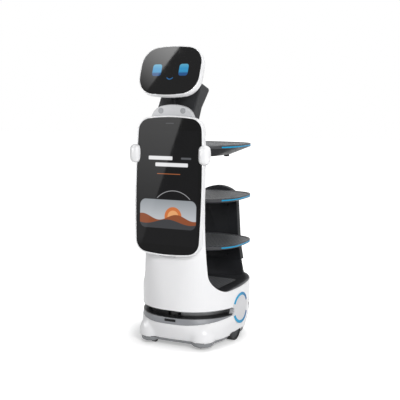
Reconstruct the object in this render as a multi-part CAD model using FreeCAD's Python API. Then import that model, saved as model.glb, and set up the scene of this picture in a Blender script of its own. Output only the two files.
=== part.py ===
import FreeCAD, Part
import math
import os
from collections import namedtuple

os.makedirs("parts", exist_ok=True)

# Delivery robot with three shelf trays, a base tray, a large front display and a face.
# Millimetres. +X is the robot's left, -Y its front, +Z up. The origin is on the floor
# under the middle of its length and width.

# Overall
overall_height = 1400.0
clearance = 0.3
running_fit = 0.05

# Body shell in plan: an oval of tangent arcs
body_half_width = 246.0
body_half_length = 281.0
body_centre_y = 15.0
body_side_radius = 533.0
body_front_corner_cut = 21.0
body_rear_corner_cut = 11.0
body_end_radius = 521.0
shell_wall = 4.0
body_front_y = body_centre_y - body_half_length
body_rear_y = body_centre_y + body_half_length

# Heights of the base
skirt_bottom_z = 22.0
skirt_foot_bottom_z = 13.0
skirt_top_z = 40.0
knee_z = 112.0
slot_bottom_z = 147.0
slot_height = 36.0
shell_top_z = 264.0
shell_slope_degrees = 3.434
slot_top_z = slot_bottom_z + slot_height

# Bumper: how far its outlines stand inside the body's half width and half length
belt_rear_inset = 4.0
belt_corner_cut = 6.0
knee_side_inset = 3.0
knee_front_inset = -2.0
knee_rear_inset = 19.0
knee_front_corner_cut = 46.0
knee_rear_corner_cut = 26.0
low_side_inset = 24.0
low_front_inset = 23.0
low_rear_inset = 51.0
low_front_corner_cut = 116.0
low_rear_corner_cut = 61.0
bumper_side_radius = 700.0
knee_front_radius = 1200.0
bumper_front_radius = 2200.0
bumper_rear_radius = 480.0
skirt_side_inset = 36.0
skirt_front_inset = 33.0
skirt_rear_inset = 64.0
skirt_front_corner_cut = 156.0
skirt_rear_corner_cut = 96.0
skirt_wall = 6.0
skirt_inset = 3.0
foot_x_inset = 110.0
foot_y_inset = 69.0
foot_z = 62.0
foot_bulge_radius = 62.0
foot_bulge_half_height = 68.0
foot_bulge_end_radius = 57.0
skirt_foot_radius = foot_bulge_radius - 7.0
skirt_foot_low_radius = foot_bulge_radius - 14.0

# Drive wheels with their arches and axles
wheel_radius = 62.5
wheel_width = 36.0
wheel_x = body_half_width - 50.0
wheel_y = body_centre_y - 10.0
tyre_thickness = 9.0
tyre_edge_radius = 5.0
hub_inset = 2.0
wheel_clearance = 8.0
arch_half_length = wheel_radius + 13.5
arch_top_z = 52.0
arch_corner_radius = 22.0
axle_radius = 8.0
axle_depth = 22.0
axle_bracket_x = wheel_x - 48.0
axle_bracket_thickness = 10.0
axle_bracket_length = 60.0
axle_bracket_drop = 20.0

# Chassis plate and battery
plate_bottom_z = 73.0
plate_thickness = 6.0
plate_top_z = plate_bottom_z + plate_thickness
battery_width = 1.5 * axle_bracket_x
battery_length = 180.0
battery_height = 110.0
battery_y = body_centre_y + 20.0

# Grey lips under the scanner slots
lip_depth = 29.0
lip_reach = 206.0
lip_end_y = body_front_y + lip_reach
lip_overhang = 50.0
lip_slit_width = 50.0
lip_slit_height = 6.0
lip_slit_z = slot_bottom_z - 11.0
lip_slit_depth = 30.0
lip_window_inset = 4.5

# Scanner bays
slot_end_y = body_front_y + 201.0
bay_depth = 45.0
bay_wall = 3.0
scanner_radius = 30.0
scanner_gap = 6.0
scanner_inset = 61.0

# Casters: swivel axes, wheel and fork
front_caster_x = body_half_width - 124.0
front_caster_y = body_front_y + 91.0
rear_caster_x = body_half_width - 134.0
rear_caster_y = body_rear_y - 140.0
caster_radius = 25.0
caster_width = 20.0
caster_edge_radius = 3.0
caster_trail = 20.0
caster_side_gap = 1.5
caster_leg = 4.0
caster_crown_z = 54.0
caster_crown_thickness = 5.7
caster_crown_radius = 17.0
caster_stem_radius = 6.0
caster_stem_gap = 2.0
caster_pin_radius = 4.0
caster_boss_radius = 9.0
caster_seat_radius = 24.0
caster_seat_thickness = 13.0

# Side discs with their light rings
disc_y = body_centre_y - 21.0
disc_z = slot_bottom_z + 20.0
disc_radius = 75.0
disc_proud = 1.5
disc_reach = 80.0
ring_stroke = 14.0
ring_proud = 1.0
ring_gap_degrees = 24.0

# Front column: its rear edge, and the sweep down into the deck
column_edge_y = body_front_y + 50.0
column_top_z = overall_height - 360.0
column_top_radius = 50.0
column_overlap = 60.0
sweep_top_z = shell_top_z + 336.0
sweep_long_radius = 3500.0
sweep_radius = 94.0
sweep_centre_z = shell_top_z + sweep_radius
sweep_long_y = column_edge_y + sweep_long_radius
sweep_centre_y = sweep_long_y - math.sqrt(
    (sweep_long_radius - sweep_radius) ** 2 - (sweep_top_z - sweep_centre_z) ** 2)
liner_wall = 4.0

# Rear column and the face that the trays meet
rear_face_y = body_rear_y - 50.0
rear_column_depth = 36.0
rear_column_taper = 1.0
rear_column_low_half_width = body_half_width - 114.0
rear_column_waist_half_width = body_half_width - 128.0
rear_column_high_half_width = body_half_width - 143.0

# Deck of the base tray
deck_thickness = 14.0
deck_top_z = shell_top_z - 4.0
deck_edge_width = 4.0
mat_half_width = body_half_width - 100.0
mat_front_y = column_edge_y + 124.0
mat_rear_y = rear_face_y - 70.0
mat_side_radius = 3000.0
mat_corner_radius = 26.0
mat_thickness = 3.0

# Trays, with heights between the deck and the top tray
top_tray_z = column_top_z - 93.0
tray_shares = {"lower": 0.3144, "middle": 0.6405, "top": 1.0}
tray_half_width = body_half_width - 14.0
tray_front_y = column_edge_y + 41.0
tray_centre_y = (tray_front_y + rear_face_y) / 2.0
tray_half_length = (rear_face_y - tray_front_y) / 2.0
tray_side_radius = 800.0
tray_front_corner_cut = 36.0
tray_front_radius = 700.0
tray_rear_corner_cut = 103.0
tray_rear_radius = 450.0
tray_rim_height = 16.0
tray_rim_width = 11.0
tray_pocket_depth = 6.0
tray_belly_height = 8.0
tray_belly_inset = 26.0
tray_belly_step = 1.0
tray_tongue_half_width = 120.0
light_height = 6.0
light_drop = 6.0
light_proud = 1.0
light_front_y = tray_centre_y - 145.0
light_rear_y = tray_centre_y + 135.0
arm_height = 34.0
arm_half_width = 160.0
arm_rear_y = tray_centre_y + 90.0
arm_corner_radius = 70.0
arm_end_radius = 500.0
arm_step = 2.0
camera_x = 124.0
camera_y = arm_rear_y - 40.0
camera_radius = 13.0
camera_drop = 7.0

# Heights of the rear column and its foot
rear_column_top_z = deck_top_z + tray_shares["middle"] * (top_tray_z - deck_top_z) + 22.0
rear_column_shoulder_z = rear_column_top_z - 41.0
foot_top_z = deck_top_z + 88.0
foot_middle_z = deck_top_z + 43.0
rear_column_waist_z = foot_top_z + 80.0
foot_low_half_width = rear_column_low_half_width + 33.0
foot_middle_half_width = rear_column_low_half_width + 14.0
foot_low_front_y = rear_face_y - 46.0
foot_middle_front_y = rear_face_y - 18.0
fixing_hole_x = rear_column_high_half_width - 46.0
fixing_hole_radius = 4.5
fixing_hole_depth = 8.0
fixing_hole_heights = [foot_top_z + 21.0, rear_column_shoulder_z - 57.0]

# Front display, between its foot over the base and its top in front of the collar
display_lean = 3.3
display_foot_z = shell_top_z + 180.5
display_crown_z = column_top_z + 45.5
glass_side_radius = 5000.0
glass_half_width = body_half_width - 77.0
glass_corner_radius = 58.0
glass_end_radius = 900.0
glass_thickness = 6.0
glass_recess = 1.0
bezel_rim = 7.0
bezel_depth = 30.0
bezel_reach = 60.0
bezel_half_width = glass_half_width + bezel_rim
bezel_half_height = (display_crown_z - display_foot_z) / (2.0 * math.cos(math.radians(display_lean)))
glass_half_height = bezel_half_height - bezel_rim
display_z = (display_foot_z + display_crown_z) / 2.0
display_y = -body_rear_y + bezel_half_height * math.sin(math.radians(display_lean))
pod_radius = 28.0
pod_half_height = 47.0
pod_end_radius = 23.0
pod_outset = 4.0
pod_setback = 6.0
pod_z = display_z + 145.0
pod_y = display_y + (pod_z - display_z) * math.tan(math.radians(display_lean)) + pod_setback

# Collar over the display and its two sensor spots
collar_half_width = 112.0
collar_half_height = 115.0
collar_side_radius = 1000.0
collar_corner_radius = 72.0
collar_end_radius = 220.0
collar_centre_z = column_top_z - 20.0
collar_front_y = column_edge_y - 24.0
collar_sensor_x = 57.0
collar_sensor_z = collar_centre_z + 87.0
collar_sensor_radius = 13.5
collar_sensor_proud = 1.0

# Neck: corners of its side view, behind the column's edge and below the robot's top
neck_half_width = 97.0
neck_corners = [
    (0.0, 400.0), (0.0, 296.0), (10.0, 288.0), (47.0, 228.0), (67.0, 196.0), (72.0, 161.0),
    (166.0, 192.0), (166.0, 204.0), (91.0, 281.0), (66.0, 330.0), (50.0, 380.0),
]
neck_edge_radius = 5.0
console_front_corner = 5
console_rear_corner = 6
operator_glass_half_width = 84.0
operator_glass_margin = 12.0
operator_glass_thickness = 2.0

# Head, leaning back, and its knuckle
head_lean = 20.0
head_y = column_edge_y - 38.0
face_half_width = 152.0
face_half_height = 115.0
face_side_radius = 648.0
face_corner_radius = 82.0
face_end_radius = 628.0
face_thickness = 6.0
face_rim = 4.0
head_sections = [(48.0, -63.0), (20.0, -57.0), (3.0, -40.0), (-2.5, -20.0), (0.0, 0.0)]
face_rim_half_height = face_half_height + face_rim
head_z = overall_height - face_rim_half_height * math.cos(math.radians(head_lean))
knuckle_y = column_edge_y + 11.0
knuckle_z = overall_height - 234.0
knuckle_radius = 12.0
knuckle_half_width = 12.0
knuckle_pin_radius = 4.0
ear_thickness = 5.0
ear_height = 58.0
post_radius = 7.5
post_depth = 66.0

far = 2.0 * overall_height

X_AXIS = FreeCAD.Vector(1, 0, 0)
Y_AXIS = FreeCAD.Vector(0, 1, 0)
Z_AXIS = FreeCAD.Vector(0, 0, 1)
ORIGIN = FreeCAD.Vector(0, 0, 0)

Plan = namedtuple(
    "Plan",
    "half_width front rear side_r front_corner_r front_end_r rear_corner_r rear_end_r centre_y",
)


def point(x, y, z=0.0):
    return FreeCAD.Vector(x, y, z)


def save(shape, node):
    shape.exportStep("parts/" + node + ".step")


def block(x0, x1, y0, y1, z0, z1):
    """A box between two corners."""
    return Part.makeBox(x1 - x0, y1 - y0, z1 - z0, point(x0, y0, z0))


def rod(radius, start, end):
    """A round bar from one point to another."""
    along = end - start
    return Part.makeCylinder(radius, along.Length, start, along)


def joined(shapes):
    """One solid of pieces that meet, or one compound of pieces that do not."""
    return shapes[0].multiFuse(shapes[1:]).removeSplitter()


def apart(shapes):
    return Part.makeCompound(shapes)


def mirrored(shape):
    return shape.mirror(ORIGIN, X_AXIS)


def both_sides(shape):
    return apart([shape, mirrored(shape)])


def arc(centre, radius, start, end):
    """The shorter arc from start to end on a circle."""
    middle = (start + end) * 0.5 - centre
    middle.normalize()
    return Part.Arc(start, centre + middle * radius, end).toShape()


def corner_circle(half_width, reach, side_r, corner_r, end_r):
    """Centre of the corner arc, tangent inside the side arc and the end arc, in one quadrant."""
    side = point(half_width - side_r, 0)
    end = point(0, reach - end_r)
    to_side = side_r - corner_r
    to_end = end_r - corner_r
    gap = end - side
    along = (to_side ** 2 - to_end ** 2 + gap.Length ** 2) / (2.0 * gap.Length)
    across = math.sqrt(to_side ** 2 - along ** 2)
    unit = gap * (1.0 / gap.Length)
    normal = point(unit.y, -unit.x)
    options = [side + unit * along + normal * across, side + unit * along - normal * across]
    return max(options, key=lambda c: c.x + c.y)


def quadrant(plan, reach, corner_r, end_r):
    """Tangent points and centres of one quadrant, around (0, 0)."""
    side = point(plan.half_width - plan.side_r, 0)
    end = point(0, reach - end_r)
    corner = corner_circle(plan.half_width, reach, plan.side_r, corner_r, end_r)
    on_side = side + (corner - side) * (plan.side_r / (plan.side_r - corner_r))
    on_end = end + (corner - end) * (end_r / (end_r - corner_r))
    return side, corner, end, on_side, on_end


def oval(plan, z=0.0):
    """Closed outline of eight tangent arcs: two sides, two ends and four corners."""
    def placed(p, x_sign, y_sign):
        return point(p.x * x_sign, plan.centre_y + p.y * y_sign, z)

    rear = quadrant(plan, plan.rear, plan.rear_corner_r, plan.rear_end_r)
    front = quadrant(plan, plan.front, plan.front_corner_r, plan.front_end_r)
    edges = []
    for sign in (1, -1):
        side_centre = placed(rear[0], sign, 1)
        edges.append(Part.Arc(
            placed(front[3], sign, -1),
            point(sign * plan.half_width, plan.centre_y, z),
            placed(rear[3], sign, 1),
        ).toShape())
    for data, y_sign, corner_r, end_r, reach in (
        (rear, 1, plan.rear_corner_r, plan.rear_end_r, plan.rear),
        (front, -1, plan.front_corner_r, plan.front_end_r, plan.front),
    ):
        for sign in (1, -1):
            edges.append(arc(
                placed(data[1], sign, y_sign), corner_r,
                placed(data[3], sign, y_sign), placed(data[4], sign, y_sign),
            ))
        edges.append(Part.Arc(
            placed(data[4], 1, y_sign),
            point(0, plan.centre_y + y_sign * reach, z),
            placed(data[4], -1, y_sign),
        ).toShape())
    return Part.Wire(Part.__sortEdges__(edges))


def inset(plan, distance):
    """The plan moved inwards all round by one distance."""
    return plan._replace(
        half_width=plan.half_width - distance,
        front=plan.front - distance,
        rear=plan.rear - distance,
        side_r=plan.side_r - distance,
        front_corner_r=plan.front_corner_r - distance,
        front_end_r=plan.front_end_r - distance,
        rear_corner_r=plan.rear_corner_r - distance,
        rear_end_r=plan.rear_end_r - distance,
    )


def prism(plan, z0, z1):
    """Straight block with an oval plan."""
    return Part.Face(oval(plan, z0)).extrude(point(0, 0, z1 - z0))


def loft(sections):
    """Solid through oval sections, each a plan and its height."""
    return Part.makeLoft([oval(plan, z) for plan, z in sections], True, True)


def even_oval(half_width, half_length, side_r, corner_r, end_r, centre_y=0.0):
    """A plan whose front and rear are alike."""
    return Plan(half_width, half_length, half_length, side_r, corner_r, end_r,
                corner_r, end_r, centre_y)


def side_profile(corners, x0, x1):
    """A polygon of (y, z) corners, extruded along X."""
    wire = Part.makePolygon([point(x0, y, z) for y, z in corners + corners[:1]])
    return Part.Face(wire).extrude(point(x1 - x0, 0, 0))


def rounded_rectangle(x0, x1, y0, y1, radius, z):
    """Closed outline with four round corners."""
    edges = []
    corners = (
        (x1 - radius, y1 - radius, 0),
        (x0 + radius, y1 - radius, 90),
        (x0 + radius, y0 + radius, 180),
        (x1 - radius, y0 + radius, 270),
    )
    starts = []
    for cx, cy, turn in corners:
        spots = []
        for step in (0, 45, 90):
            angle = math.radians(turn + step)
            spots.append(point(cx + radius * math.cos(angle), cy + radius * math.sin(angle), z))
        edges.append(Part.Arc(*spots).toShape())
        starts.append((spots[0], spots[2]))
    for index in range(4):
        edges.append(Part.makeLine(starts[index][1], starts[(index + 1) % 4][0]))
    return Part.Wire(Part.__sortEdges__(edges))


def stood_up(shape, lean, y, z):
    """Turns a shape drawn face up (its depth along -Z) to face forward, leaning back."""
    shape.rotate(ORIGIN, X_AXIS, 90.0)
    shape.rotate(ORIGIN, X_AXIS, -lean)
    shape.translate(point(0, y, z))
    return shape


def plan_inside_body(sides, front, rear, side_r, front_cut, front_end_r, rear_cut, rear_end_r):
    """A plan set in from the body's half width and half length, its corners cut rounder."""
    half_width = body_half_width - sides
    return Plan(half_width, body_half_length - front, body_half_length - rear,
                side_r, body_half_width - front_cut, front_end_r,
                body_half_width - rear_cut, rear_end_r, body_centre_y)


body_plan = plan_inside_body(0.0, 0.0, 0.0, body_side_radius, body_front_corner_cut,
                             body_end_radius, body_rear_corner_cut, body_end_radius)
belt_plan = plan_inside_body(0.0, 0.0, belt_rear_inset, body_side_radius, belt_corner_cut,
                             body_end_radius, belt_corner_cut, body_end_radius)
knee_plan = plan_inside_body(knee_side_inset, knee_front_inset, knee_rear_inset,
                             bumper_side_radius, knee_front_corner_cut, knee_front_radius,
                             knee_rear_corner_cut, body_end_radius)
low_plan = plan_inside_body(low_side_inset, low_front_inset, low_rear_inset,
                            bumper_side_radius, low_front_corner_cut, bumper_front_radius,
                            low_rear_corner_cut, bumper_rear_radius)
skirt_plan = plan_inside_body(skirt_side_inset, skirt_front_inset, skirt_rear_inset,
                              bumper_side_radius, skirt_front_corner_cut, bumper_front_radius,
                              skirt_rear_corner_cut, bumper_rear_radius)
tray_plan = Plan(tray_half_width, tray_half_length, tray_half_length,
                 tray_side_radius, tray_half_length - tray_front_corner_cut, tray_front_radius,
                 tray_half_length - tray_rear_corner_cut, tray_rear_radius, tray_centre_y)


def bumper_band(distance):
    """The bumper's full form, moved inwards by a distance."""
    return loft([
        (inset(low_plan, distance), skirt_top_z),
        (inset(knee_plan, distance), knee_z),
        (inset(belt_plan, distance), slot_bottom_z),
    ])


def front_feet(distance, bottom_z):
    """The round bulges at the bumper's two front corners, moved inwards by a distance."""
    bulge = egg(foot_bulge_radius - distance, foot_bulge_half_height - distance,
                foot_bulge_end_radius - distance)
    bulge.translate(point(body_half_width - foot_x_inset, body_front_y + foot_y_inset, foot_z))
    bulge = bulge.common(block(-far, far, -far, far, bottom_z, far))
    return [bulge, mirrored(bulge)]


def skirt_form(distance):
    """The skirt under the bumper and its feet, moved inwards by a distance."""
    pieces = [loft([
        (inset(skirt_plan, distance), skirt_bottom_z),
        (inset(low_plan, skirt_inset + distance), skirt_top_z),
    ])]
    low_centre = point(body_half_width - foot_x_inset, body_front_y + foot_y_inset,
                       skirt_foot_bottom_z)
    cone = Part.makeCone(skirt_foot_low_radius - distance, skirt_foot_radius - distance,
                         skirt_top_z - skirt_foot_bottom_z, low_centre, Z_AXIS)
    return joined(pieces + [cone, mirrored(cone)])


def wheel_arches():
    """Cutter for the two openings over the drive wheels."""
    outline = rounded_rectangle(
        wheel_y - arch_half_length, wheel_y + arch_half_length,
        -arch_top_z, arch_top_z, arch_corner_radius, 0)
    cutter = Part.Face(outline).extrude(point(0, 0, 2 * body_half_width))
    # The outline's x runs along Y here, its y along Z.
    cutter.rotate(ORIGIN, X_AXIS, 90.0)
    cutter.rotate(ORIGIN, Z_AXIS, 90.0)
    cutter.translate(point(-cutter.BoundBox.Center.x, 0, 0))
    core = block(-axle_bracket_x, axle_bracket_x, -far, far, -far, far)
    return cutter.cut(core)


def slot_region(rear, wall=0.0):
    """Block of the scanner slot's height less a wall, with a round end, across the width."""
    middle_z = slot_bottom_z + slot_height / 2.0
    end_y = slot_end_y - slot_height / 2.0
    end_radius = slot_height / 2.0 - wall
    region = joined([
        block(-far, far, -far, end_y, slot_bottom_z + wall, slot_top_z - wall),
        rod(end_radius, point(-far, end_y, middle_z), point(far, end_y, middle_z)),
    ])
    if rear:
        region = region.mirror(point(0, body_centre_y, 0), Y_AXIS)
    return region


def scanner_place(rear):
    offset = body_half_length - scanner_inset
    return body_centre_y + (offset if rear else -offset)


def scanner_bay(rear):
    """Dark lining of one scanner slot: floor, roof, back and a niche round the scanner."""
    y = scanner_place(rear)
    seat = inset(body_plan, shell_wall / 2.0)
    belt = prism(seat, slot_bottom_z, slot_top_z).common(slot_region(rear))
    belt = belt.cut(prism(inset(body_plan, bay_depth + bay_wall), 0, far))
    void = slot_region(rear, bay_wall).cut(prism(inset(body_plan, bay_depth), 0, far))
    radius = scanner_radius + scanner_gap
    niche = rod(radius + bay_wall, point(0, y, slot_bottom_z), point(0, y, slot_top_z))
    hollow = rod(radius, point(0, y, slot_bottom_z + bay_wall), point(0, y, slot_top_z - bay_wall))
    return belt.fuse(niche).cut(void).cut(hollow)


def lip_region(rear):
    """Wedge above a sloping plane that gives a lip its depth at the middle."""
    ahead_y = body_front_y - lip_overhang
    rise = lip_depth / lip_reach
    wedge = side_profile([
        (ahead_y, slot_bottom_z - lip_depth - lip_overhang * rise),
        (lip_end_y, slot_bottom_z),
        (ahead_y, slot_bottom_z),
    ], -far, far)
    if rear:
        wedge = wedge.mirror(point(0, body_centre_y, 0), Y_AXIS)
    return wedge


def shell_top_cutter():
    """Everything above the base shell's top edge, which rises to the rear."""
    rear_z = shell_top_z + math.tan(math.radians(shell_slope_degrees)) * (far - sweep_centre_y)
    return side_profile([
        (-far, shell_top_z), (sweep_centre_y, shell_top_z), (far, rear_z),
        (far, far * 2), (-far, far * 2),
    ], -far, far)


def column_region(setback):
    """Side view of the front column: ahead of its edge, with the sweep into the deck."""
    edge = column_edge_y - setback
    long_centre = point(0, sweep_long_y, sweep_top_z)
    centre = point(0, sweep_centre_y, sweep_centre_z)
    outward = centre - long_centre
    outward.normalize()
    top = point(0, edge, sweep_top_z)
    touch = centre + outward * (sweep_radius + setback)
    foot = point(0, sweep_centre_y, shell_top_z - setback)
    low_z = shell_top_z - column_overlap
    edges = [arc(long_centre, sweep_long_radius + setback, top, touch),
             arc(centre, sweep_radius + setback, touch, foot)]
    lines = Part.makePolygon([
        foot, point(0, sweep_centre_y, low_z), point(0, -far, low_z),
        point(0, -far, far), point(0, edge, far), top,
    ])
    face = Part.Face(Part.Wire(Part.__sortEdges__(edges + lines.Edges)))
    region = face.extrude(point(2 * far, 0, 0))
    region.translate(point(-far, 0, 0))
    return region


def column_outline():
    """Front view of the column, with round shoulders at its top."""
    wire = rounded_rectangle(
        -body_half_width, body_half_width, -far, column_top_z, column_top_radius, 0)
    shape = Part.Face(wire).extrude(point(0, 0, far))
    shape.rotate(ORIGIN, X_AXIS, 90.0)
    return shape


def caster_places():
    """Node ending, and the X and Y of each swivel axis."""
    return [
        ("front_left", front_caster_x, front_caster_y),
        ("front_right", -front_caster_x, front_caster_y),
        ("rear_left", rear_caster_x, rear_caster_y),
        ("rear_right", -rear_caster_x, rear_caster_y),
    ]


def make_base():
    """Bumper, skirt, lips, chassis plate and base shell."""
    bumper_full = joined([bumper_band(0.0)] + front_feet(0.0, skirt_top_z))
    cavity = joined([bumper_band(shell_wall)] + front_feet(shell_wall, skirt_top_z))
    arches = wheel_arches()
    wall = bumper_full.cut(cavity)
    lips = []
    for rear in (False, True):
        region = lip_region(rear)
        lips.append(wall.common(region))
        wall = wall.cut(region)
    slit = block(-lip_slit_width / 2, lip_slit_width / 2, -far, body_front_y + lip_slit_depth,
                 lip_slit_z - lip_slit_height / 2, lip_slit_z + lip_slit_height / 2)
    window = lips[0].common(slit)
    window = window.common(block(-far, far, window.BoundBox.YMin + lip_window_inset, 0, 0, far))
    lips[0] = lips[0].cut(slit)
    save(wall.cut(arches), "bumper_shell")
    save(apart(lips), "scanner_lips")
    save(window, "front_sensor_window")

    below = prism(inset(skirt_plan, skirt_wall), 0, skirt_bottom_z)
    skirt_inner = skirt_form(skirt_wall).fuse(below)
    save(skirt_form(0.0).cut(skirt_inner).cut(arches), "base_skirt")

    plate = cavity.common(block(-far, far, -far, far, plate_bottom_z, plate_top_z))
    hole_radius = caster_stem_radius + caster_stem_gap
    notch_y = wheel_radius + wheel_clearance
    notch_x = wheel_x - wheel_width / 2 - wheel_clearance
    cuts = []
    for sign in (1, -1):
        ends = sorted((sign * notch_x, sign * far))
        cuts.append(block(ends[0], ends[1], wheel_y - notch_y, wheel_y + notch_y, 0, far))
    for _, x, y in caster_places():
        cuts.append(rod(hole_radius, point(x, y, 0), point(x, y, far)))
    for cut in cuts:
        plate = plate.cut(cut)
    save(plate, "chassis_plate")

    ring = prism(body_plan, slot_bottom_z, far).cut(prism(inset(body_plan, shell_wall), 0, far))
    for region in (slot_region(False), slot_region(True)):
        ring = ring.cut(region)
    base_shell = ring.cut(shell_top_cutter())
    save(base_shell, "base_shell")

    bays = [scanner_bay(rear) for rear in (False, True)]
    save(apart(bays), "scanner_bays")
    scanners = []
    for rear in (False, True):
        y = scanner_place(rear)
        scanners.append(rod(scanner_radius, point(0, y, slot_bottom_z + bay_wall),
                            point(0, y, slot_top_z - bay_wall - clearance)))
    save(apart(scanners), "scanners")

    disc = prism(inset(body_plan, -disc_proud), 0, shell_top_z)
    disc = disc.common(rod(disc_radius, point(0, disc_y, disc_z), point(far, disc_y, disc_z)))
    disc = disc.cut(prism(body_plan, slot_bottom_z, far)).cut(bumper_full)
    disc = disc.cut(block(-far, body_half_width - disc_reach, -far, far, 0, far))
    disc = disc.cut(slot_region(False))
    save(both_sides(disc), "side_discs")

    band = prism(inset(body_plan, -disc_proud - ring_proud), 0, shell_top_z)
    band = band.cut(prism(inset(body_plan, -disc_proud), 0, shell_top_z))
    ring_outer = rod(disc_radius, point(0, disc_y, disc_z), point(far, disc_y, disc_z))
    ring_inner = rod(disc_radius - ring_stroke, point(0, disc_y, disc_z), point(far, disc_y, disc_z))
    gap_reach = 2.0 * disc_radius
    gap_rise = gap_reach * math.tan(math.radians(ring_gap_degrees))
    gap = side_profile([
        (disc_y, disc_z), (disc_y + gap_reach, disc_z + gap_rise),
        (disc_y + gap_reach, disc_z - gap_rise),
    ], 0, far)
    gap = gap.fuse(gap.mirror(point(0, disc_y, 0), Y_AXIS))
    arcs = band.common(ring_outer.cut(ring_inner)).cut(gap)
    save(both_sides(arcs), "ring_lights")


def make_running_gear():
    """Battery, axles, drive wheels and casters."""
    save(block(-battery_width / 2, battery_width / 2,
               battery_y - battery_length / 2, battery_y + battery_length / 2,
               plate_top_z, plate_top_z + battery_height), "battery_pack")

    hub_radius = wheel_radius - tyre_thickness
    inner_x = wheel_x - wheel_width / 2
    outer_x = wheel_x + wheel_width / 2
    centre = point(0, wheel_y, wheel_radius)
    bracket_x1 = axle_bracket_x + axle_bracket_thickness
    bracket = block(axle_bracket_x, bracket_x1,
                    wheel_y - axle_bracket_length / 2, wheel_y + axle_bracket_length / 2,
                    wheel_radius - axle_bracket_drop, plate_bottom_z)
    axle = rod(axle_radius, centre + point(axle_bracket_x, 0, 0),
               centre + point(inner_x + axle_depth, 0, 0))
    save(both_sides(joined([bracket, axle])), "drive_axles")

    tyre = rod(wheel_radius, centre + point(inner_x, 0, 0), centre + point(outer_x, 0, 0))
    rims = [edge for edge in tyre.Edges if edge.Length > wheel_radius * 5]
    tyre = tyre.makeFillet(tyre_edge_radius, rims)
    core = rod(hub_radius, centre, centre + point(far, 0, 0))
    tyre = tyre.cut(core)
    hub = rod(hub_radius, centre + point(inner_x + hub_inset, 0, 0),
              centre + point(outer_x - hub_inset, 0, 0))
    bore = rod(axle_radius + running_fit, centre,
               centre + point(inner_x + axle_depth + clearance, 0, 0))
    hub = hub.cut(bore)
    for shape, node in ((tyre, "drive_tyre_"), (hub, "drive_hub_")):
        save(shape, node + "left")
        save(mirrored(shape), node + "right")

    leg_inner = caster_width / 2 + caster_side_gap
    leg_outer = leg_inner + caster_leg
    crown_top = caster_crown_z + caster_crown_thickness
    seats = []
    for ending, x, y in caster_places():
        axle_spot = point(x, y - caster_trail, caster_radius)
        crown = rod(caster_crown_radius, point(x, y, caster_crown_z), point(x, y, crown_top))
        stem = rod(caster_stem_radius, point(x, y, caster_crown_z), point(x, y, plate_top_z))
        pieces = [crown, stem]
        pieces.append(rod(caster_pin_radius, axle_spot - point(leg_outer, 0, 0),
                          axle_spot + point(leg_outer, 0, 0)))
        reach = math.sqrt(caster_crown_radius ** 2 - leg_outer ** 2)
        for sign in (1, -1):
            ends = sorted((x + sign * leg_inner, x + sign * leg_outer))
            pieces.append(side_profile([
                (y - reach, crown_top), (y + reach, crown_top),
                (axle_spot.y + caster_boss_radius, axle_spot.z),
                (axle_spot.y - caster_boss_radius, axle_spot.z),
            ], ends[0], ends[1]))
            pieces.append(rod(caster_boss_radius, point(ends[0], axle_spot.y, axle_spot.z),
                              point(ends[1], axle_spot.y, axle_spot.z)))
        save(joined(pieces), "caster_fork_" + ending)
        half = caster_width / 2
        wheel = rod(caster_radius, axle_spot - point(half, 0, 0), axle_spot + point(half, 0, 0))
        rims = [edge for edge in wheel.Edges if edge.Length > caster_radius * 5]
        wheel = wheel.makeFillet(caster_edge_radius, rims)
        wheel = wheel.cut(rod(caster_pin_radius + running_fit,
                              axle_spot - point(far, 0, 0), axle_spot + point(far, 0, 0)))
        save(wheel, "caster_wheel_" + ending)
        seat = rod(caster_seat_radius, point(x, y, plate_bottom_z - caster_seat_thickness),
                   point(x, y, plate_bottom_z))
        seats.append(seat.cut(rod(caster_stem_radius + running_fit,
                                  point(x, y, 0), point(x, y, far))))
    save(apart(seats), "caster_seats")


def make_column(display):
    """White front column, its dark liner and the deck of the base tray."""
    outline = column_outline()
    outer = prism(body_plan, shell_top_z, column_top_z).common(outline)
    inner = prism(inset(body_plan, shell_wall), 0, far)
    column = outer.common(column_region(0.0)).cut(inner).cut(display)
    save(column, "front_column_shell")

    sheet = column_region(0.0).cut(column_region(liner_wall))
    liner = sheet.common(inner).common(block(-far, far, -far, far, shell_top_z - liner_wall,
                                             column_top_z))
    liner = liner.common(outline)
    save(liner, "front_column_liner")

    mat_plan = even_oval(mat_half_width, (mat_rear_y - mat_front_y) / 2.0, mat_side_radius,
                         mat_corner_radius, mat_side_radius, (mat_rear_y + mat_front_y) / 2.0)
    edge_wire = oval(inset(body_plan, shell_wall + deck_edge_width), 0)
    edge_wire.rotate(point(0, sweep_centre_y, 0), X_AXIS, shell_slope_degrees)
    edge_wire.translate(point(0, 0, shell_top_z))
    bowl = Part.makeLoft([oval(mat_plan, deck_top_z), edge_wire], True, True)
    deck = prism(inset(body_plan, shell_wall), deck_top_z - deck_thickness, far)
    deck = deck.cut(shell_top_cutter()).cut(bowl).cut(column_region(0.0))
    mat = prism(mat_plan, deck_top_z - mat_thickness, deck_top_z)
    deck = deck.cut(mat)
    save(deck, "tray_deck")
    return deck, mat


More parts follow.
